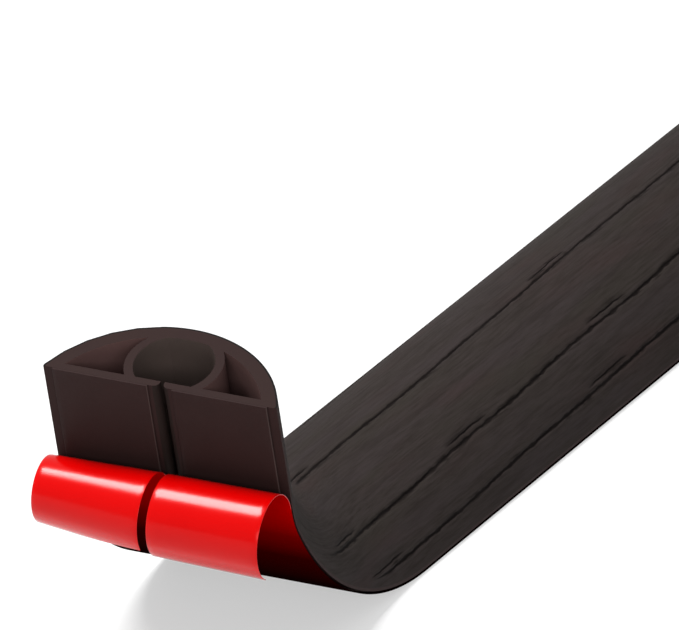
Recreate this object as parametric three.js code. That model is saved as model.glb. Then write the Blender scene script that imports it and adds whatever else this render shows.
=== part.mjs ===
// Self-adhesive floor cord cover: a soft domed strip with a slit cable channel.
// Its near end is bent up off the floor, and the release liners are peeled back from that end.
// Millimetres. +X runs along the strip away from the raised end, +Y across it, +Z up.
import * as THREE from "three";

// The extruded strip, in its own section: width across, height above the base face.
const coverLength = 1000;
const coverWidth = 66;
const coverHeight = 23.5;
const flankHeight = 0.8;
const domeWall = 4.2;
const basePlate = 2.2;
const channelRadius = 10.8;
const channelCentreHeight = 9.6;
const channelWall = 2.4;
const slitWidth = 1.2;
const slitLipRadius = 1.6;

// The raised end, measured on the base face: a straight stretch above two arcs, of which the lower is wider.
const raisedLength = 34;
const upperBend = { radius: 30, degrees: 19, facets: 5 };
const lowerBend = { radius: 112, degrees: 50, facets: 15 };

// The two strips of double-sided tape, one on each side of the slit.
const tapeWidth = 27;
const tapeThickness = 0.5;
const tapeFromEdge = 2.6;

// The two release liners. Each still covers its tape up to the foot of the raised stretch. The peeled part is
// a pull tab longer than the stretch it came off, and curls back over by a little more than half a turn.
const linerThickness = 0.2;
const linerGapAtSlit = 2.4;
const pullTab = 8.6;
const curlRadius = 11.2;
const curlFacets = 16;

// Clearance between films that lie on each other.
const filmGap = 0.05;

const domeSteps = 36;
const channelSteps = 12;

const arcLength = (arc) => arc.radius * THREE.MathUtils.degToRad(Math.abs(arc.degrees));
const bendLength = arcLength(lowerBend) + arcLength(upperBend);

// The dome's arc through both flanks and the crown.
const domeRise = coverHeight - flankHeight;
const domeRadius = ((coverWidth / 2) ** 2 + domeRise ** 2) / (2 * domeRise);
const domeCentreHeight = coverHeight - domeRadius;
const roofRadius = domeRadius - domeWall;

// Where a circle about the channel's centre meets the roof's arc: a height above the base face.
function roofMeetingHeight(radius) {
  const rise = roofRadius ** 2 - radius ** 2 + channelCentreHeight ** 2 - domeCentreHeight ** 2;
  return rise / (2 * (channelCentreHeight - domeCentreHeight));
}

// Angle of a point at a height on a circle whose centre lies on the section's axis.
function angleAt(height, centreHeight, radius) {
  return Math.asin((height - centreHeight) / radius);
}

// Points on an arc about (0, centreHeight), from one angle to another.
function arcPoints(centreHeight, radius, from, to, steps) {
  return Array.from({ length: steps + 1 }, (_, i) => {
    const angle = from + ((to - from) * i) / steps;
    return new THREE.Vector2(radius * Math.cos(angle), centreHeight + radius * Math.sin(angle));
  });
}

// The slit's right lip, from the base face round into the slit.
function lipPoints() {
  const centre = new THREE.Vector2(slitWidth / 2 + slitLipRadius, slitLipRadius);
  return [-90, -120, -150, -180].map((degrees) => {
    const angle = THREE.MathUtils.degToRad(degrees);
    return new THREE.Vector2(Math.cos(angle), Math.sin(angle)).multiplyScalar(slitLipRadius).add(centre);
  });
}

const mirrored = (points) => points.map((p) => new THREE.Vector2(-p.x, p.y)).reverse();

// The right half of the cable channel's wall, from its floor beside the slit up to the roof's crown.
function channelHalf() {
  const meeting = roofMeetingHeight(channelRadius);
  const floorAngle = angleAt(basePlate, channelCentreHeight, channelRadius);
  const sideAngle = angleAt(meeting, channelCentreHeight, channelRadius);
  const roofAngle = angleAt(meeting, domeCentreHeight, roofRadius);
  return [
    new THREE.Vector2(slitWidth / 2, basePlate),
    ...arcPoints(channelCentreHeight, channelRadius, floorAngle, sideAngle, channelSteps),
    ...arcPoints(domeCentreHeight, roofRadius, roofAngle, Math.PI / 2, 4).slice(1),
  ];
}

// A hollow side chamber on the right: base plate, roof and the channel's wall bound it.
function sideChamber() {
  const outer = channelRadius + channelWall;
  const meeting = roofMeetingHeight(outer);
  const tipAngle = angleAt(basePlate, domeCentreHeight, roofRadius);
  const roofAngle = angleAt(meeting, domeCentreHeight, roofRadius);
  const wallTop = angleAt(meeting, channelCentreHeight, outer);
  const wallFoot = angleAt(basePlate, channelCentreHeight, outer);
  return [
    ...arcPoints(domeCentreHeight, roofRadius, tipAngle, roofAngle, 8),
    ...arcPoints(channelCentreHeight, outer, wallTop, wallFoot, 8).slice(1),
  ];
}

function coverSection() {
  const right = coverWidth / 2;
  const domeAngle = angleAt(flankHeight, domeCentreHeight, domeRadius);
  const channel = channelHalf();
  const outline = [
    ...lipPoints().reverse(),
    new THREE.Vector2(right, 0),
    ...arcPoints(domeCentreHeight, domeRadius, domeAngle, Math.PI - domeAngle, domeSteps),
    new THREE.Vector2(-right, 0),
    ...mirrored(lipPoints().reverse()),
    ...mirrored(channel).reverse(),
    ...[...channel].reverse().slice(1),
  ];
  const section = new THREE.Shape(outline);
  const chamber = sideChamber();
  section.holes.push(new THREE.Path(chamber), new THREE.Path(mirrored(chamber)));
  return section;
}

// A flat film's section: from one side to the other, between two heights. Below the base face is negative.
function filmSection(side, fromCentre, width, top, thickness) {
  const near = side * fromCentre;
  const far = side * (fromCentre + width);
  return new THREE.Shape([
    new THREE.Vector2(near, top - thickness),
    new THREE.Vector2(far, top - thickness),
    new THREE.Vector2(far, top),
    new THREE.Vector2(near, top),
  ]);
}

// Places along an arc, after its start. A place's angle is how steeply the strip climbs there, towards -X.
// Positive degrees bend it up, negative ones curl it back and down.
function alongArc(start, { radius, degrees, facets }) {
  const turned = THREE.MathUtils.degToRad(degrees);
  const curvature = Math.sign(degrees) * radius;
  return Array.from({ length: facets }, (_, i) => {
    const angle = start.angle + (turned * (i + 1)) / facets;
    return {
      x: start.x - curvature * (Math.sin(angle) - Math.sin(start.angle)),
      z: start.z - curvature * (Math.cos(angle) - Math.cos(start.angle)),
      angle,
    };
  });
}

// The base face's course, from where it leaves the floor to the raised tip.
const floorEdge = { x: 0, z: 0, angle: 0 };
const lowerPlaces = alongArc(floorEdge, lowerBend);
const bendPlaces = [floorEdge, ...lowerPlaces, ...alongArc(lowerPlaces.at(-1), upperBend)];
const peelLine = bendPlaces.at(-1);
const tip = {
  x: peelLine.x - raisedLength * Math.cos(peelLine.angle),
  z: peelLine.z + raisedLength * Math.sin(peelLine.angle),
  angle: peelLine.angle,
};
const farEnd = { x: coverLength - raisedLength - bendLength, z: 0, angle: 0 };

// Every sweep runs from the raised tip, or from a flap's free edge, to the far end.
const bendToFarEnd = [...bendPlaces.toReversed(), farEnd];
const coverPlaces = [tip, ...bendToFarEnd];
const curlDegrees = -THREE.MathUtils.radToDeg((raisedLength + pullTab) / curlRadius);
const curlPlaces = alongArc(peelLine, { radius: curlRadius, degrees: curlDegrees, facets: curlFacets });
const linerPlaces = [...curlPlaces.toReversed(), ...bendToFarEnd];

// Sweeps a section through places in the XZ plane: its height follows each place's own normal.
function sweep(section, places) {
  const steps = places.length - 1;
  const geometry = new THREE.ExtrudeGeometry(section, { depth: steps, steps, bevelEnabled: false });
  const position = geometry.getAttribute("position");
  for (let i = 0; i < position.count; i++) {
    const place = places[Math.round(position.getZ(i))];
    const across = position.getX(i);
    const height = position.getY(i);
    position.setXYZ(
      i,
      place.x + height * Math.sin(place.angle),
      across,
      place.z + height * Math.cos(place.angle),
    );
  }
  geometry.computeVertexNormals();
  return geometry;
}

const profileMaterial = new THREE.MeshStandardMaterial({ color: 0x37312f, roughness: 0.55, metalness: 0 });
const tapeMaterial = new THREE.MeshStandardMaterial({ color: 0x2e2422, roughness: 0.45, metalness: 0 });
const linerMaterial = new THREE.MeshStandardMaterial({ color: 0xe60000, roughness: 0.2, metalness: 0 });

function named(name, geometry, material) {
  const mesh = new THREE.Mesh(geometry, material);
  mesh.name = name;
  return mesh;
}

const cover = new THREE.Group();
cover.add(named("cover_profile", sweep(coverSection(), coverPlaces), profileMaterial));

const tapeTop = -filmGap;
const linerTop = tapeTop - tapeThickness - filmGap;
const tapeFromCentre = coverWidth / 2 - tapeFromEdge - tapeWidth;
const linerFromCentre = linerGapAtSlit / 2;
const linerWidth = coverWidth / 2 - linerFromCentre;

for (const [sideName, side] of [["left", 1], ["right", -1]]) {
  const tape = filmSection(side, tapeFromCentre, tapeWidth, tapeTop, tapeThickness);
  cover.add(named(`adhesive_tape_${sideName}`, sweep(tape, coverPlaces), tapeMaterial));
  const liner = filmSection(side, linerFromCentre, linerWidth, linerTop, linerThickness);
  cover.add(named(`release_liner_${sideName}`, sweep(liner, linerPlaces), linerMaterial));
}

// The part's origin: the centre of its bounding box, on the floor.
const bounds = new THREE.Box3().setFromObject(cover);
const middle = bounds.getCenter(new THREE.Vector3());
for (const piece of cover.children) piece.position.set(-middle.x, -middle.y, -bounds.min.z);

export default cover;
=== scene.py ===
"""Looks of the floor cord cover: wood-print dome with modelled cracks, adhesive tapes, red release films.

Sizes are in millimetres until a mesh is made. s is a distance along the strip's base face from where it
leaves the floor, negative up the raised end. w is a distance across the dome from its crown, positive
towards -Y.
"""
import math

import bmesh
import bpy
import numpy as np
from mathutils import Matrix, Vector
from mathutils.geometry import tessellate_polygon


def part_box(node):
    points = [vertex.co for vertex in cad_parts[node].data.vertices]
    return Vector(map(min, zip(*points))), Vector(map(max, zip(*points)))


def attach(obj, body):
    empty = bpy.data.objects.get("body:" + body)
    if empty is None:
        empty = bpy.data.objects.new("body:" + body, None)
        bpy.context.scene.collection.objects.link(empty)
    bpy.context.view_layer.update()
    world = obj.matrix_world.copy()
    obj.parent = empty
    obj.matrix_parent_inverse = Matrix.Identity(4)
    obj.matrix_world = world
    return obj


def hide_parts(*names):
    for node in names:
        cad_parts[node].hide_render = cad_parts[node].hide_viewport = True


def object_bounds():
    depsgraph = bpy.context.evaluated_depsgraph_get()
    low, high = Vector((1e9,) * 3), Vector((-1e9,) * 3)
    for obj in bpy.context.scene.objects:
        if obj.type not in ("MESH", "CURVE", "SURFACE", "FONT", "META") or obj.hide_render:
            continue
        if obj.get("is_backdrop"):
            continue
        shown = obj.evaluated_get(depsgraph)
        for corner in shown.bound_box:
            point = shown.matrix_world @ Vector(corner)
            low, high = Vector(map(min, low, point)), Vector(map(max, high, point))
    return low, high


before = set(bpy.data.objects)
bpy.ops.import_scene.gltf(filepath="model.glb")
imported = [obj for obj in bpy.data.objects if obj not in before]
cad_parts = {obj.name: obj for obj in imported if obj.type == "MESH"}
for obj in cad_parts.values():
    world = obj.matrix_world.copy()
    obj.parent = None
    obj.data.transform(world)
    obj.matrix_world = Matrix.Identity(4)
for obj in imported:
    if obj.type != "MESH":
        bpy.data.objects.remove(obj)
cad_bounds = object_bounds()

MM = 0.001

# The strip's section: width across, height above the base face.
LENGTH = 1000.0
WIDTH = 66.0
HEIGHT = 23.5
FLANK = 0.8
DOME_WALL = 4.2
BASE_PLATE = 2.2
CHANNEL_RADIUS = 10.8
CHANNEL_CENTRE = 9.6
CHANNEL_WALL = 2.4
SLIT_WIDTH = 1.2
LIP_RADIUS = 1.6

# The printed foil over the dome: its dark edge shows round the cut end, and it laps onto the base.
FOIL = 0.5
FOIL_LAP = 0.7

# The raised end, on the base face: a straight stretch above two arcs.
RAISED = 34.0
UPPER_RADIUS, UPPER_ANGLE = 30.0, math.radians(19)
LOWER_RADIUS, LOWER_ANGLE = 112.0, math.radians(50)
BEND = UPPER_RADIUS * UPPER_ANGLE + LOWER_RADIUS * LOWER_ANGLE
TIP_S = -(RAISED + BEND)
FAR_S = LENGTH - RAISED - BEND

# Tapes and release films below the base face. Each film covers its half of the base up to the strip's edge.
GAP = 0.05
TAPE_WIDTH = 27.0
TAPE_THICKNESS = 0.5
TAPE_FROM_EDGE = 2.6
TAPE_FROM_CENTRE = WIDTH / 2 - TAPE_FROM_EDGE - TAPE_WIDTH
TAPE_TOP = -GAP
FILM_THICKNESS = 0.2
FILM_FROM_CENTRE = 1.2
FILM_WIDTH = WIDTH / 2 - FILM_FROM_CENTRE
FILM_TOP = TAPE_TOP - TAPE_THICKNESS - GAP

# Each flap's curl is slightly conical: its radius and length at the slit, then at the strip's edge.
CURLS = {"left": ((11.6, 40.6), (9.6, 39.3)), "right": ((11.5, 43.7), (11.9, 46.5))}

# Painted shade: the film still on the tape is coloured darker over this length down the bend, and the back
# of each flap is coloured a little darker towards its free edge.
PAINTED_SHADE_FADE = 50.0
BACK_PAINTED_SHADE = 0.12

# The frame: where the strip leaves the floor, and the base face's height.
profile_low, profile_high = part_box("cover_profile")
floor_x = profile_high.x / MM - FAR_S
base_z = profile_low.z / MM

DOME_RISE = HEIGHT - FLANK
DOME_RADIUS = ((WIDTH / 2) ** 2 + DOME_RISE ** 2) / (2 * DOME_RISE)
DOME_CENTRE = HEIGHT - DOME_RADIUS
HALF_DOME = DOME_RADIUS * (math.pi / 2 - math.asin((FLANK - DOME_CENTRE) / DOME_RADIUS))
ROOF_RADIUS = DOME_RADIUS - DOME_WALL


def course(s):
    """The base face's x, z and climbing angle at distances s."""
    s = np.asarray(s, float)
    up = np.maximum(-s, 0)
    low = np.minimum(up / LOWER_RADIUS, LOWER_ANGLE)
    high = np.clip((up - LOWER_RADIUS * LOWER_ANGLE) / UPPER_RADIUS, 0, UPPER_ANGLE)
    angle = low + high
    straight = np.maximum(up - BEND, 0)
    x = -(LOWER_RADIUS * np.sin(low) + UPPER_RADIUS * (np.sin(angle) - np.sin(low))
          + straight * np.cos(angle))
    z = (LOWER_RADIUS * (1 - np.cos(low)) + UPPER_RADIUS * (np.cos(low) - np.cos(angle))
         + straight * np.sin(angle))
    return np.where(s > 0, s, x) + floor_x, z + base_z, angle


def place(s, across, height):
    """Points in space of places in the strip's section."""
    x, z, angle = course(s)
    return np.stack([x + height * np.sin(angle), across + 0 * x, z + height * np.cos(angle)], axis=-1)


def arc(centre, radius, start, end, steps):
    """Points of an arc about (0, centre) in the section."""
    angles = np.linspace(start, end, steps + 1)
    return np.column_stack([radius * np.cos(angles), centre + radius * np.sin(angles)])


def angle_at(height, centre, radius):
    return math.asin((height - centre) / radius)


def roof_meeting(radius):
    """Height where a circle about the channel's centre meets the roof's underside."""
    rise = ROOF_RADIUS ** 2 - radius ** 2 + CHANNEL_CENTRE ** 2 - DOME_CENTRE ** 2
    return rise / (2 * (CHANNEL_CENTRE - DOME_CENTRE))


def mirror(points):
    return points[::-1] * np.array([-1, 1])


# Steps round the curves of the section.
LIP_STEPS = 6
WALL_STEPS = 14
ROOF_STEPS = 4
CHAMBER_ROOF_STEPS = 10
CHAMBER_WALL_STEPS = 8

# The base has this many points on each side before its lip, and the lip's colour starts just under the tape.
PLATE_POINTS = 3
UNDER_TAPE = 0.2

# A lip's faces: its round edge, the slit's side and the channel's floor beside the slit.
LIP_FACES = LIP_STEPS + 2


def under_section():
    """The section's line below the dome, and its corners.

    It runs from the -Y foot by the slit and round the channel to the +Y foot.
    """
    foot = -WIDTH / 2
    plate = [[foot, 0], [foot + FOIL_LAP, 0], [-TAPE_FROM_CENTRE - UNDER_TAPE, 0]]
    lip_centre = np.array([-SLIT_WIDTH / 2 - LIP_RADIUS, LIP_RADIUS])
    lip = lip_centre + arc(0, LIP_RADIUS, -math.pi / 2, 0, LIP_STEPS)
    slit_top = [[-SLIT_WIDTH / 2, BASE_PLATE]]
    meeting = roof_meeting(CHANNEL_RADIUS)
    foot_angle = math.pi - angle_at(BASE_PLATE, CHANNEL_CENTRE, CHANNEL_RADIUS)
    head_angle = math.pi - angle_at(meeting, CHANNEL_CENTRE, CHANNEL_RADIUS)
    wall = arc(CHANNEL_CENTRE, CHANNEL_RADIUS, foot_angle, head_angle, WALL_STEPS)
    roof_angle = math.pi - angle_at(meeting, DOME_CENTRE, ROOF_RADIUS)
    roof = arc(DOME_CENTRE, ROOF_RADIUS, roof_angle, math.pi / 2, ROOF_STEPS)[1:]
    half = np.vstack([plate, lip, slit_top, wall, roof])
    slit_corner = PLATE_POINTS + LIP_STEPS + 1
    wall_foot = slit_corner + 1
    corners = np.zeros(len(half), bool)
    corners[[0, slit_corner, wall_foot, wall_foot + WALL_STEPS]] = True
    return np.vstack([half, mirror(half[:-1])]), np.concatenate([corners, corners[:-1][::-1]])


def chamber():
    """A side chamber's outline on the +Y side, and its corners."""
    outer = CHANNEL_RADIUS + CHANNEL_WALL
    meeting = roof_meeting(outer)
    roof = arc(DOME_CENTRE, ROOF_RADIUS, angle_at(BASE_PLATE, DOME_CENTRE, ROOF_RADIUS),
               angle_at(meeting, DOME_CENTRE, ROOF_RADIUS), CHAMBER_ROOF_STEPS)
    wall = arc(CHANNEL_CENTRE, outer, angle_at(meeting, CHANNEL_CENTRE, outer),
               angle_at(BASE_PLATE, CHANNEL_CENTRE, outer), CHAMBER_WALL_STEPS)[1:]
    corners = np.zeros(len(roof) + len(wall), bool)
    corners[[0, CHAMBER_ROOF_STEPS, CHAMBER_ROOF_STEPS + CHAMBER_WALL_STEPS]] = True
    return np.vstack([roof, wall]), corners


def new_object(name, verts, faces, slots, materials, smooth=True):
    """A mesh piece from points in millimetres. slots gives each face's place in materials."""
    mesh = bpy.data.meshes.new(name)
    mesh.from_pydata((verts * MM).tolist(), [], faces)
    mesh.polygons.foreach_set("material_index", np.asarray(slots, np.int32))
    mesh.polygons.foreach_set("use_smooth", np.full(len(faces), smooth))
    for material in materials:
        mesh.materials.append(material)
    mesh.update()
    piece = bpy.data.objects.new(name, mesh)
    bpy.context.scene.collection.objects.link(piece)
    return piece


def turn_outward(piece):
    bm = bmesh.new()
    bm.from_mesh(piece.data)
    bmesh.ops.recalc_face_normals(bm, faces=bm.faces)
    bm.to_mesh(piece.data)
    bm.free()


def set_sharp(mesh, sharp):
    """sharp(a, b) says which edges between vertices a and b stay crisp under smooth shading."""
    ends = np.zeros(len(mesh.edges) * 2, np.int32)
    mesh.edges.foreach_get("vertices", ends)
    ends = ends.reshape(-1, 2)
    attribute = mesh.attributes.new("sharp_edge", "BOOLEAN", "EDGE")
    attribute.data.foreach_set("value", sharp(ends[:, 0], ends[:, 1]))


def set_attribute(mesh, name, kind, values):
    attribute = mesh.attributes.new(name, kind, "POINT")
    field = "vector" if kind == "FLOAT_VECTOR" else "value"
    attribute.data.foreach_set(field, np.ravel(values).astype(np.float32))


def sweep(name, loops, corners, sections, materials, side_slots, cap_slot, rim=None):
    """A closed piece swept through stations.

    Each loop is an array of points: stations by places round it, by xyz. The first loop is the outline and
    the others are hollows. corners marks each loop's crisp lines, sections gives the loops in the plane at
    both ends, and side_slots each loop's materials by station and place. rim says which stretch of the
    outline has a thin edge of its own on the cut ends, with the edge's inner line and its material.
    """
    verts, faces, slots, station_of, line_of, starts = [], [], [], [], [], []
    total, lines = 0, 0
    last = loops[0].shape[0] - 1
    for loop, loop_slots in zip(loops, side_slots):
        stations, count = loop.shape[:2]
        starts.append(total)
        verts.append(loop.reshape(-1, 3))
        station_of.append(np.repeat(np.arange(stations), count))
        line_of.append(np.tile(np.arange(count) + lines, stations))
        here = total + np.arange(stations - 1)[:, None] * count + np.arange(count)
        after = total + np.arange(stations - 1)[:, None] * count + (np.arange(count) + 1) % count
        faces.extend(np.stack([here, after, after + count, here + count], -1).reshape(-1, 4).tolist())
        slots.extend(np.broadcast_to(loop_slots, (stations - 1, count)).ravel().tolist())
        total += stations * count
        lines += count
    for end, flat in ((0, sections[0]), (last, sections[1])):
        counts = [loop.shape[1] for loop in loops]
        rings = [start + end * count + np.arange(count) for start, count in zip(starts, counts)]
        flat = [np.asarray(polygon) for polygon in flat]
        if rim:
            chain = rim["chain"]
            inner_flat, inner_space = rim["inner"][0 if end == 0 else 1]
            fresh = total + np.arange(len(inner_flat))
            verts.append(inner_space)
            station_of.append(np.full(len(fresh), end))
            line_of.append(np.full(len(fresh), -1))
            total += len(fresh)
            outer = rings[0][chain]
            inside = np.concatenate([outer[:1], fresh, outer[-1:]])
            for i in range(len(outer) - 1):
                around = [int(v) for v in (outer[i], outer[i + 1], inside[i + 1], inside[i])]
                faces.append(list(dict.fromkeys(around)))
                slots.append(rim["slot"])
            rest = np.setdiff1d(np.arange(len(rings[0])), chain)
            flat[0] = np.vstack([flat[0][chain[:1]], inner_flat, flat[0][chain[-1:]], flat[0][rest]])
            rings[0] = np.concatenate([inside, rings[0][rest]])
        index = np.concatenate(rings)
        polygons = [[Vector((*point, 0)) for point in polygon] for polygon in flat]
        for triangle in tessellate_polygon(polygons):
            faces.append([int(index[t]) for t in triangle])
            slots.append(cap_slot)
    piece = new_object(name, np.vstack(verts), faces, slots, materials)
    turn_outward(piece)
    station_of, line_of = np.concatenate(station_of), np.concatenate(line_of)
    crisp = np.flatnonzero(np.concatenate(corners))

    def sharp(a, b):
        along = (line_of[a] == line_of[b]) & np.isin(line_of[a], crisp)
        at_end = (station_of[a] == station_of[b]) & np.isin(station_of[a], [0, last])
        return along | at_end

    set_sharp(piece.data, sharp)
    return piece


class Nodes:
    """Builds a material's node tree in few words."""

    def __init__(self, name):
        self.material = bpy.data.materials.new(name)
        self.material.use_nodes = True
        self.tree = self.material.node_tree
        self.shader = self.tree.nodes["Principled BSDF"]

    def add(self, kind, **values):
        node = self.tree.nodes.new(kind)
        for key, value in values.items():
            setattr(node, key, value)
        return node

    def feed(self, socket, value):
        """Links a socket to another's output, or gives it a number or colour."""
        if isinstance(value, bpy.types.NodeSocket):
            self.tree.links.new(value, socket)
        else:
            socket.default_value = value if isinstance(value, (int, float)) else (*value, 1)

    def attribute(self, name, output="Vector"):
        return self.add("ShaderNodeAttribute", attribute_name=name).outputs[output]

    def position(self):
        return self.add("ShaderNodeTexCoord").outputs["Object"]

    def noise(self, vector, scale, offset, detail, roughness=0.55):
        """Noise on a vector in metres, with scale in waves per metre for each direction."""
        mapping = self.add("ShaderNodeMapping")
        mapping.inputs["Scale"].default_value = scale
        mapping.inputs["Location"].default_value = (offset,) * 3
        self.feed(mapping.inputs["Vector"], vector)
        node = self.add("ShaderNodeTexNoise")
        node.inputs["Scale"].default_value = 1.0
        node.inputs["Detail"].default_value = detail
        node.inputs["Roughness"].default_value = roughness
        self.feed(node.inputs["Vector"], mapping.outputs["Vector"])
        return node.outputs["Fac"]

    def ramp(self, factor, stops):
        node = self.add("ShaderNodeValToRGB")
        elements = node.color_ramp.elements
        while len(elements) < len(stops):
            elements.new(0.5)
        for element, (position, colour) in zip(elements, stops):
            element.position = position
            element.color = (*colour, 1)
        self.feed(node.inputs["Fac"], factor)
        return node.outputs["Color"]

    def mix(self, factor, a, b):
        node = self.add("ShaderNodeMix", data_type="RGBA")
        for socket, value in ((node.inputs[0], factor), (node.inputs[6], a), (node.inputs[7], b)):
            self.feed(socket, value)
        return node.outputs[2]

    def span(self, value, low, high, to_low, to_high):
        node = self.add("ShaderNodeMapRange")
        limits = {"From Min": low, "From Max": high, "To Min": to_low, "To Max": to_high}
        for socket, number in limits.items():
            node.inputs[socket].default_value = number
        self.feed(node.inputs["Value"], value)
        return node.outputs["Result"]

    def product(self, a, b):
        node = self.add("ShaderNodeMath", operation="MULTIPLY")
        self.feed(node.inputs[0], a)
        self.feed(node.inputs[1], b)
        return node.outputs[0]

    def finish(self, colour, roughness, bump=None, strength=0.08, distance=0.0002, **constants):
        """Gives the shader its colour, roughness, bump and constant values, named with underscores."""
        self.feed(self.shader.inputs["Base Color"], colour)
        self.feed(self.shader.inputs["Roughness"], roughness)
        if bump:
            node = self.add("ShaderNodeBump")
            node.inputs["Strength"].default_value = strength
            node.inputs["Distance"].default_value = distance
            self.feed(node.inputs["Height"], bump)
            self.feed(self.shader.inputs["Normal"], node.outputs["Normal"])
        for key, value in constants.items():
            self.shader.inputs[key.replace("_", " ")].default_value = value
        return self.material


def srgb(r, g, b):
    """Linear colour of an sRGB one, 0 to 255."""
    def linear(c):
        c /= 255
        return c / 12.92 if c <= 0.04045 else ((c + 0.055) / 1.055) ** 2.4
    return tuple(linear(c) for c in (r, g, b))


def wood_print():
    """Dark wenge print: fine streaks, broad bands and patches, near-black cracks with splintered edges."""
    n = Nodes("wood_print")
    grain = n.attribute("grain")
    streaks = n.noise(grain, (80, 1300, 1), 0, detail=4, roughness=0.62)
    threads = n.noise(grain, (170, 3000, 1), 3, detail=2)
    bands = n.noise(grain, (9, 140, 1), 5, detail=2)
    warm = n.noise(grain, (16, 70, 1), 9, detail=2)
    cool = n.noise(grain, (13, 90, 1), 17, detail=2)
    strokes = n.noise(grain, (26, 430, 1), 29, detail=3)
    splinters = n.noise(grain, (75, 800, 1), 41, detail=2)
    colour = n.ramp(streaks, [(0.32, srgb(36, 31, 29)), (0.5, srgb(42, 37, 35)), (0.7, srgb(46, 40, 39))])
    colour = n.mix(n.span(threads, 0.55, 0.75, 0, 0.4), colour, srgb(30, 25, 23))
    colour = n.mix(n.span(bands, 0.45, 0.7, 0, 0.5), colour, srgb(47, 41, 42))
    colour = n.mix(n.span(warm, 0.52, 0.72, 0, 0.5), colour, srgb(47, 36, 35))
    colour = n.mix(n.span(cool, 0.52, 0.72, 0, 0.45), colour, srgb(40, 37, 32))
    colour = n.mix(n.span(strokes, 0.5, 0.68, 0, 0.6), colour, srgb(33, 28, 26))
    split = n.product(n.span(splinters, 0.5, 0.6, 0, 0.8), n.attribute("splinters", "Fac"))
    colour = n.mix(split, colour, srgb(20, 16, 14))
    colour = n.mix(n.span(n.attribute("crack", "Fac"), 0.0, 0.6, 0, 0.95), colour, srgb(15, 11, 10))
    return n.finish(colour, n.span(streaks, 0.3, 0.7, 0.8, 0.7), threads, Specular_IOR_Level=0.04)


def plain_pvc(name, dark, light):
    """Plain brown PVC with faint extrusion lines along the strip."""
    n = Nodes(name)
    where = n.position()
    lines = n.noise(where, (8, 1500, 1500), 0, detail=2)
    cloud = n.noise(where, (60, 60, 60), 3, detail=3)
    colour = n.mix(n.span(cloud, 0.35, 0.7, 0, 1), dark, light)
    colour = n.mix(n.span(lines, 0.5, 0.75, 0, 0.3), colour, light)
    return n.finish(colour, n.span(cloud, 0.3, 0.7, 0.55, 0.65), lines, Specular_IOR_Level=0.05)


def adhesive():
    """Dark brown pressure-sensitive adhesive: smooth, faintly mottled."""
    n = Nodes("adhesive_face")
    cloud = n.noise(n.position(), (70, 70, 70), 0, detail=4)
    fine = n.noise(n.position(), (900, 900, 900), 5, detail=2)
    colour = n.mix(n.span(cloud, 0.35, 0.7, 0, 1), srgb(37, 25, 24), srgb(40, 27, 26))
    return n.finish(colour, n.span(fine, 0.3, 0.7, 0.55, 0.65), fine, 0.06, 0.0001, Specular_IOR_Level=0.06)


def red_film():
    """Glossy red release film where it is peeled."""
    n = Nodes("red_film")
    cloud = n.noise(n.position(), (25, 25, 25), 0, detail=2)
    colour = n.mix(cloud, (0.4, 0.0, 0.0), (0.45, 0.0, 0.0))
    return n.finish(colour, n.span(cloud, 0.3, 0.7, 0.17, 0.21), Specular_IOR_Level=0.5,
                    Specular_Tint=(1.0, 0.28, 0.28, 1.0))


def painted_shade_film():
    """The film's back and the film still on the tape, in a dark red that is painted shade, darker down the
    bend.
    """
    n = Nodes("painted_shade_film")
    cloud = n.noise(n.position(), (25, 25, 25), 0, detail=2)
    # Painted shade: dark red at the peel line, near black down the bend towards the floor.
    colour = n.ramp(n.attribute("painted_shade", "Fac"),
                    [(0.0, (0.28, 0.0, 0.0)), (0.24, (0.09, 0.0, 0.0)), (0.5, (0.02, 0.0, 0.0)),
                     (1.0, (0.004, 0.0005, 0.0005))])
    return n.finish(colour, n.span(cloud, 0.3, 0.7, 0.5, 0.6), Specular_IOR_Level=0.0)


def pale_floor():
    """Pale tabletop that glows, as a lit product table does, which keeps the shadows soft."""
    n = Nodes("pale_floor")
    cloud = n.noise(n.position(), (2, 2, 2), 0, detail=1)
    return n.finish(n.mix(cloud, (0.37, 0.37, 0.37), (0.39, 0.39, 0.39)), 0.35, Specular_IOR_Level=0.3,
                    Emission_Color=(1.0, 1.0, 1.0, 1.0), Emission_Strength=0.5)


WOOD = wood_print()
BROWN = plain_pvc("brown_pvc", srgb(37, 25, 24), srgb(40, 27, 26))
CUT = plain_pvc("cut_pvc", srgb(36, 24, 23), srgb(39, 27, 25))
FOIL_EDGE = plain_pvc("foil_edge", srgb(12, 9, 9), srgb(15, 12, 11))
# Painted light: the channel and the chambers are coloured lighter than the same plastic at the cut end.
CHANNEL_PAINTED_LIGHT = plain_pvc("channel_pvc_painted_light", srgb(70, 60, 56), srgb(75, 64, 60))
CHAMBER_PAINTED_LIGHT = plain_pvc("chamber_pvc_painted_light", srgb(80, 60, 58), srgb(85, 64, 62))
# Painted shade: the lips and the slit's sides are coloured darker than the base beside them.
LIP_PAINTED_SHADE = plain_pvc("lip_pvc_painted_shade", srgb(27, 21, 19), srgb(31, 24, 22))
ADHESIVE = adhesive()
# Painted highlight: each tape's -Y edge is coloured lighter than the adhesive.
TAPE_EDGE_PAINTED_HIGHLIGHT = plain_pvc("tape_edge_painted_highlight", srgb(54, 43, 41), srgb(60, 48, 46))
RED = red_film()
# The film's dark back and the film still on the tape are painted shade.
FILM_PAINTED_SHADE = painted_shade_film()
COVER_MATERIALS = (WOOD, BROWN, CUT, FOIL_EDGE, CHANNEL_PAINTED_LIGHT, CHAMBER_PAINTED_LIGHT, LIP_PAINTED_SHADE)

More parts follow.
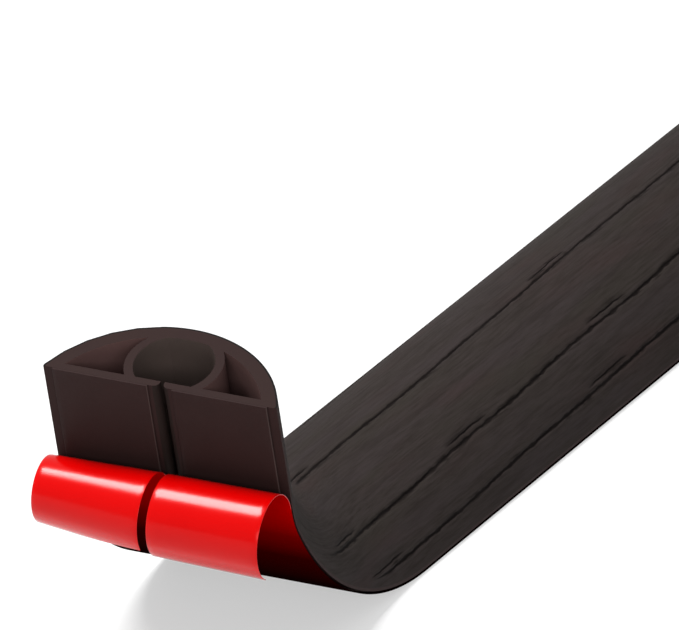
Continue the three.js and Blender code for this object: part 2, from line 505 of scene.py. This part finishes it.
# The dome's cracks: where each lies across the dome, where it starts, and where and how often forks open
# beside it. The mesh has evenly spaced lines before each crack and after the last.
CRACK_PLACES = (-37.0, -24.0, -1.0, 21.7, 34.8)
CRACK_STARTS = (30.0, 30.0, -31.0, -69.0, -36.0)
FORK_STARTS = (90.0, 60.0, -31.0, -58.0, -36.0)
FORK_PITCHES = (170.0, 190.0, 181.0, 99.0, 155.0)
LINES_BEFORE = (4, 6, 12, 12, 7)
LINES_AFTER = 6

# A crack's size: its notch, the length over which it starts, and the part of its depth at which it is black.
CRACK_HALF_WIDTH = 0.68
CRACK_DEPTH = 0.4
CRACK_TAPER = 14.0
BLACK_AT = 1 / 1.3
ACROSS = (-1.0, -0.5, 0.0, 0.5, 1.0)
SINK = (0.0, 0.75, 1.0, 0.75, 0.0)

# Forks: thin cracks beside a crack, which bow away from it by the second distance.
FORK_HALF_WIDTH = 0.34
FORK_DEPTH = 0.3
FORK_LENGTH = 27.0
FORK_AWAY = (1.6, 0.3)
FORK_ROUNDNESS = 0.6

# All but the last two cracks come back on the raised end, and end just short of its tip.
BACK_ON_RAISED = 3
RAISED_CRACKS_FROM = -92.0
TIP_MARGIN = 1.0
TIP_TAPER = 7.0

# How cracks wander sideways, swell and vary in depth: amplitudes, and wave lengths along the strip.
SLOW_WANDER = (0.5, (170, 83))
QUICK_WANDER = (0.24, (17, 8.3, 4.7))
SWELL, SWELL_LENGTHS = (0.6, 0.75), (29, 11, 5.9)
MEAN_DEPTH, LEAST_DEPTH = 0.85, 0.4
DEPTH_WANDER = (0.5, (90, 31, 13))

# The grain drifts slowly along the strip, and runs out towards -Y up the bend.
DRIFT, DRIFT_LENGTH, DRIFT_AT = 3.0, 900.0, 120.0
VEER, VEER_LENGTH = 30.0, 90.0

# Near the edge the crack lines close up, so none leaves the dome.
SQUEEZE_FROM, SQUEEZE = 38.0, 4.0

rng = np.random.default_rng(7)


def wander(s, amplitude, lengths):
    """A smooth seeded wave along the strip."""
    total = np.zeros_like(s)
    for length in lengths:
        total += rng.uniform(0.5, 1.0) * np.sin(2 * math.pi * s / length + rng.uniform(0, 2 * math.pi))
    return amplitude * total / len(lengths)


def veer(s):
    return VEER * (1 - np.exp(-(np.minimum(s, 0) / VEER_LENGTH) ** 2))


def squeeze(w):
    closer = SQUEEZE_FROM + SQUEEZE * (1 - np.exp(-(w - SQUEEZE_FROM) / SQUEEZE))
    return np.where(w > SQUEEZE_FROM, closer, w)


def crack_lines(s):
    """Each crack's fork and the crack itself, as centre, half width and depth along the strip."""
    drift = -DRIFT * np.sin(2 * math.pi * (s - DRIFT_AT) / DRIFT_LENGTH) + veer(s)
    cracks = zip(CRACK_PLACES, CRACK_STARTS, FORK_STARTS, FORK_PITCHES)
    for k, (at, start, fork_at, pitch) in enumerate(cracks):
        centre = at + drift + wander(s, *SLOW_WANDER) + wander(s, *QUICK_WANDER)
        swell = SWELL[0] + SWELL[1] * np.abs(wander(s, 1.0, SWELL_LENGTHS))
        on = np.clip((s - start) / CRACK_TAPER, 0, 1)
        if k < BACK_ON_RAISED:
            raised = np.minimum((RAISED_CRACKS_FROM - s) / CRACK_TAPER, (s - TIP_S - TIP_MARGIN) / TIP_TAPER)
            on = np.maximum(on, np.clip(raised, 0, 1))
        depth = on * CRACK_DEPTH * np.clip(MEAN_DEPTH + wander(s, *DEPTH_WANDER), LEAST_DEPTH, 1)
        along = ((s - fork_at) % pitch) / FORK_LENGTH
        bow = np.sin(np.pi * np.clip(along, 0, 1)) ** FORK_ROUNDNESS
        opened = np.where(along < 1, bow, 0) * (s > start)
        fork = centre - FORK_AWAY[0] - FORK_AWAY[1] * opened
        yield fork, np.full_like(s, FORK_HALF_WIDTH), FORK_DEPTH * opened
        yield centre, CRACK_HALF_WIDTH * swell, depth


def dome_lines(s):
    """Places across the dome, how far each is sunk, how dark, and how splintered, as stations by lines."""
    across, sink, dark, splinters = [], [], [], []
    previous = np.full_like(s, -HALF_DOME)

    def add(w, depth, darkness, splintered):
        across.append(w)
        sink.append(depth)
        dark.append(darkness)
        splinters.append(splintered)

    flat = np.zeros_like(s)
    add(previous, flat, flat, flat)
    for k, (centre, half, depth) in enumerate(crack_lines(s)):
        first = squeeze(centre - half)
        count = LINES_BEFORE[k // 2] if k % 2 == 0 else 0
        for i in range(1, count + 1):
            add(previous + (first - previous) * i / (count + 1), flat, flat, flat)
        openness = np.clip(depth / CRACK_DEPTH / BLACK_AT, 0, 1)
        for a, d in zip(ACROSS, SINK):
            add(squeeze(centre + a * half), depth * d, d * openness, openness)
        previous = across[-1]
    for i in range(1, LINES_AFTER + 1):
        add(previous + (HALF_DOME - previous) * i / (LINES_AFTER + 1), flat, flat, flat)
    return tuple(np.stack(lines, 1) for lines in (across, sink, dark, splinters))


# The cover's stations: their spacing up the raised end and close to it, and their number beyond that.
RAISED_PITCH = 2.4
NEAR_PITCH = 1.5
NEAR_TO = 300.0
FAR_STATIONS = 150


def stations():
    """Distances along the strip: close together where the photo looks, wider far away."""
    raised = np.arange(TIP_S, 0, RAISED_PITCH)
    near = np.arange(0, NEAR_TO, NEAR_PITCH)
    far = np.linspace(NEAR_TO, FAR_S, FAR_STATIONS)
    return np.concatenate([raised, near, far])


def build_cover():
    s = stations()
    w, sink, dark, splinters = dome_lines(s)
    dome_count = w.shape[1] + 1
    angle = math.pi / 2 + w / DOME_RADIUS
    radius = DOME_RADIUS - sink
    dome = np.stack([radius * np.cos(angle), DOME_CENTRE + radius * np.sin(angle)], -1)
    under, under_corners = under_section()
    foot = np.array([-WIDTH / 2, FLANK])
    outline = np.concatenate([dome, np.broadcast_to(foot, (len(s), 1, 2)),
                              np.broadcast_to(under, (len(s),) + under.shape)], 1)
    count = outline.shape[1]
    corners = np.concatenate([np.zeros(dome_count, bool), under_corners])
    corners[[0, dome_count - 1]] = True
    hollow, hollow_corners = chamber()
    flat_loops = [outline] + [np.broadcast_to(h, (len(s),) + h.shape) for h in (hollow, mirror(hollow))]
    loops = [place(s[:, None], loop[..., 0], loop[..., 1]) for loop in flat_loops]

    # The foil's cut edge: from the lap on the base, round the flank and over the dome to the other lap.
    chain = np.concatenate([[count - 2, count - 1], np.arange(dome_count + 2)])
    inner = []
    for end in (0, -1):
        points = outline[end][chain[1:-1]]
        away = points - np.array([0, DOME_CENTRE])
        inset = points - away / np.linalg.norm(away, axis=1)[:, None] * FOIL
        inset[[0, -1]] = points[[0, -1]] + np.array([[-FOIL, FOIL], [FOIL, FOIL]])
        inner.append((inset, place(np.full(len(inset), s[end]), inset[:, 0], inset[:, 1])))

    # The lips run from the tapes' near edges into the slit, and the channel's wall from lip to lip.
    slot = COVER_MATERIALS.index
    side = np.full(count, slot(BROWN))
    side[:dome_count - 1] = slot(WOOD)
    first, last = dome_count + PLATE_POINTS, count - 1 - PLATE_POINTS
    # The lips take the darker painted-shade plastic.
    side[first:last] = slot(LIP_PAINTED_SHADE)
    # The channel's wall takes the lighter painted-light plastic.
    side[first + LIP_FACES:last - LIP_FACES] = slot(CHANNEL_PAINTED_LIGHT)
    # The chambers' walls take the lighter painted-light plastic.
    hollow_side = np.array(slot(CHAMBER_PAINTED_LIGHT))
    piece = sweep("cover_body", loops, [corners, hollow_corners, hollow_corners[::-1]],
                  [[loop[end] for loop in flat_loops] for end in (0, -1)],
                  COVER_MATERIALS, [side, hollow_side, hollow_side], slot(CUT),
                  {"chain": chain, "inner": inner, "slot": slot(FOIL_EDGE)})

    # Where each point is on the flat strip: along, across with the grain, and up.
    grain = []
    for k, loop in enumerate(flat_loops):
        where = np.concatenate([np.broadcast_to(s[:, None, None], loop.shape[:2] + (1,)), loop], -1)
        if k == 0:
            where[:, :dome_count - 1, 1] = w - veer(s)[:, None]
            where[:, :dome_count - 1, 2] = 0
        grain.append(where.reshape(-1, 3))
    for end, (inset, _) in zip((0, -1), inner):
        grain.append(np.column_stack([np.full(len(inset), s[end]), inset]))
    set_attribute(piece.data, "grain", "FLOAT_VECTOR", np.vstack(grain) * MM)
    for name, on_dome in (("crack", dark), ("splinters", splinters)):
        values = np.zeros(len(piece.data.vertices))
        on_outline = values[:outline.shape[0] * count].reshape(outline.shape[:2])
        on_outline[:, :dome_count - 1] = on_dome
        set_attribute(piece.data, name, "FLOAT", values)
    return piece


# Steps of the thin strips: round a flap's curl, round a section's edge and across it, and stations up to the
# floor's edge and beyond it.
CURL_STEPS = 64
ARC_POINTS = 5
SECTION_STEPS = 20
FILM_STATIONS = (60, 120)
TAPE_STATIONS = (80, 60)


def film_section(side, from_centre, width, top, thickness):
    """A thin strip's section with rounded long edges."""
    near, far = side * from_centre, side * (from_centre + width)
    low, high = min(near, far), max(near, far)
    r = thickness / 2
    turns = np.radians(np.linspace(90, 270, ARC_POINTS))
    left = np.column_stack([low + r + r * np.cos(turns), top - r + r * np.sin(turns)])
    right = np.column_stack([high - r - r * np.cos(turns), top - r - r * np.sin(turns)])
    inner = np.linspace(low + r, high - r, SECTION_STEPS + 1)[1:-1]
    bottom = np.column_stack([inner, np.full(len(inner), top - thickness)])
    upper = np.column_stack([inner[::-1], np.full(len(inner), top)])
    return np.vstack([left, bottom, right, upper])


def strip_piece(name, section, x, z, angle, materials, slots):
    """Sweeps a thin section through a course, which may differ across it. Ends take the first material."""
    across, height = section[:, 0], section[:, 1]
    loop = np.stack([x + height * np.sin(angle), across + 0 * x, z + height * np.cos(angle)], -1)
    loop = np.broadcast_to(loop, (loop.shape[0], len(section), 3))
    no_corners = np.zeros(len(section), bool)
    return sweep(name, [loop], [no_corners], [[section], [section]], materials, [slots], 0)


def spread(start, counts):
    """Stations from a start up the bend to the floor's edge, and on to the far end."""
    return np.concatenate([np.linspace(start, 0, counts[0]), np.linspace(0, FAR_S, counts[1])[1:]])


def film_course(across, curl):
    """A film's course from its free edge to the far end, for places across: x, z, angle and painted shade.
    """
    outer = (np.abs(across) - FILM_FROM_CENTRE) / FILM_WIDTH
    radius, length = (a + (b - a) * outer for a, b in zip(*curl))
    peel_x, peel_z, peel_angle = (float(v) for v in course(-BEND))
    t = np.linspace(1, 0, CURL_STEPS + 1)[:-1, None]
    turned = peel_angle - t * length / radius
    x = peel_x + radius * (np.sin(turned) - math.sin(peel_angle))
    z = peel_z + radius * (np.cos(turned) - math.cos(peel_angle))
    s = spread(-BEND, FILM_STATIONS)
    stuck_x, stuck_z, stuck_angle = (np.broadcast_to(v[:, None], (len(s), len(across))) for v in course(s))
    # Painted shade at each station: a little on the flap's back towards its free edge, more down the bend.
    painted_shade = np.concatenate([t[:, 0] * BACK_PAINTED_SHADE, np.clip((s + BEND) / PAINTED_SHADE_FADE, 0, 1)])
    return np.vstack([x, stuck_x]), np.vstack([z, stuck_z]), np.vstack([turned, stuck_angle]), painted_shade


def build_tape(name, side):
    """A double-sided tape. Its -Y edge is coloured lighter, a painted highlight."""
    section = film_section(side, TAPE_FROM_CENTRE, TAPE_WIDTH, TAPE_TOP, TAPE_THICKNESS)
    # Painted highlight on the faces of the -Y edge.
    light = np.arange(len(section)) < ARC_POINTS - 1
    places = (v[:, None] for v in course(spread(TIP_S, TAPE_STATIONS)))
    return strip_piece(name, section, *places, (ADHESIVE, TAPE_EDGE_PAINTED_HIGHLIGHT), light.astype(int))


def build_film(name, side, curl):
    """A release film: glossy red on the peeled flap's outside; its back, and the film still on the tape, are
    a dark red painted shade.
    """
    section = film_section(side, FILM_FROM_CENTRE, FILM_WIDTH, FILM_TOP, FILM_THICKNESS)
    *places, painted_shade = film_course(section[:, 0], curl)
    # The flap's back and the film still on the tape take the painted-shade material.
    stuck_face = np.arange(len(painted_shade) - 1)[:, None] >= CURL_STEPS
    at = np.arange(len(section))
    back = (at >= ARC_POINTS - 1) & (at < ARC_POINTS + SECTION_STEPS - 1)
    piece = strip_piece(name, section, *places, (RED, FILM_PAINTED_SHADE), (stuck_face | back).astype(int))
    set_attribute(piece.data, "painted_shade", "FLOAT", np.repeat(painted_shade, len(section)))
    return piece


cover = build_cover()
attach(cover, "root")
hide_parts("cover_profile")

for side_name, side in (("left", 1), ("right", -1)):
    tape = build_tape(f"tape_{side_name}", side)
    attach(tape, "root")
    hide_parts(f"adhesive_tape_{side_name}")
    film = build_film(f"film_{side_name}", side, CURLS[side_name])
    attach(film, "root")
    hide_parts(f"release_liner_{side_name}")

# The camera, found from the photo's outlines. Its place is in millimetres from where the strip leaves the
# floor. In degrees, its heading is from +X, it dips below the level and it rolls about its line of sight.
PICTURE_WIDTH = 679
FOCAL_PIXELS = 20000.0
SENSOR = 36.0
CAMERA_AT = (-4511.5, -1931.0, 1940.1)
HEADING, DIP, ROLL = 23.1082, 20.9073, 1.6754
CLIP_END_M = 100


def add_camera():
    data = bpy.data.cameras.new("camera")
    data.sensor_width = SENSOR
    data.sensor_fit = "HORIZONTAL"
    data.lens = FOCAL_PIXELS * SENSOR / PICTURE_WIDTH
    data.clip_end = CLIP_END_M
    camera = bpy.data.objects.new("camera", data)
    bpy.context.scene.collection.objects.link(camera)
    at = (Vector(CAMERA_AT) + Vector((floor_x, 0, base_z))) * MM
    camera.matrix_world = (Matrix.Translation(at) @ Matrix.Rotation(math.radians(HEADING - 90), 4, "Z")
                           @ Matrix.Rotation(math.radians(90 - DIP), 4, "X")
                           @ Matrix.Rotation(math.radians(ROLL), 4, "Z"))
    bpy.context.scene.camera = camera


def area_light(name, offset, target, size, power):
    """A light aimed at a target. Its offset from there and its size are in metres, its power in watts."""
    data = bpy.data.lights.new(name, "AREA")
    data.shape = "RECTANGLE"
    data.size, data.size_y = size
    data.energy = power
    light = bpy.data.objects.new(name, data)
    bpy.context.scene.collection.objects.link(light)
    light.location = target + Vector(offset)
    light.rotation_euler = (-Vector(offset)).to_track_quat("-Z", "Y").to_euler()


add_camera()

# The lights aim at the fold of the films. The overhead strip's reflection is the pale band along its top.
FOLD_FROM_FLOOR_EDGE, FOLD_HEIGHT = 95.0, 50.0
fold = Vector((floor_x - FOLD_FROM_FLOOR_EDGE, 0, FOLD_HEIGHT)) * MM
area_light("overhead_strip", (-0.12, 0.49, 1.1), fold, (0.48, 0.4), 24)
area_light("front_fill", (-1.2, -0.5, 0.45), fold, (1.4, 0.5), 12)
area_light("wide_top", (0.3, -0.4, 2.2), fold, (2.6, 2.0), 4.5)

world = bpy.data.worlds.new("world")
bpy.context.scene.world = world
world.use_nodes = True
world.node_tree.nodes["Background"].inputs["Color"].default_value = (1, 1, 1, 1)
world.node_tree.nodes["Background"].inputs["Strength"].default_value = 0.5
bpy.context.scene.view_settings.view_transform = "Standard"

# The floor is a hair below the films, so no two faces share a plane.
FLOOR_HALF = 6000.0
FLOOR_BELOW = 0.05
floor_corners = np.array([(-1, -1, 0), (1, -1, 0), (1, 1, 0), (-1, 1, 0)]) * FLOOR_HALF
floor_corners = floor_corners - np.array([0, 0, FLOOR_BELOW])
floor = new_object("floor", floor_corners, [(0, 1, 2, 3)], [0], (pale_floor(),), smooth=False)
floor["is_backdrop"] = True

[[list(corner) for corner in box] for box in (cad_bounds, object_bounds())]
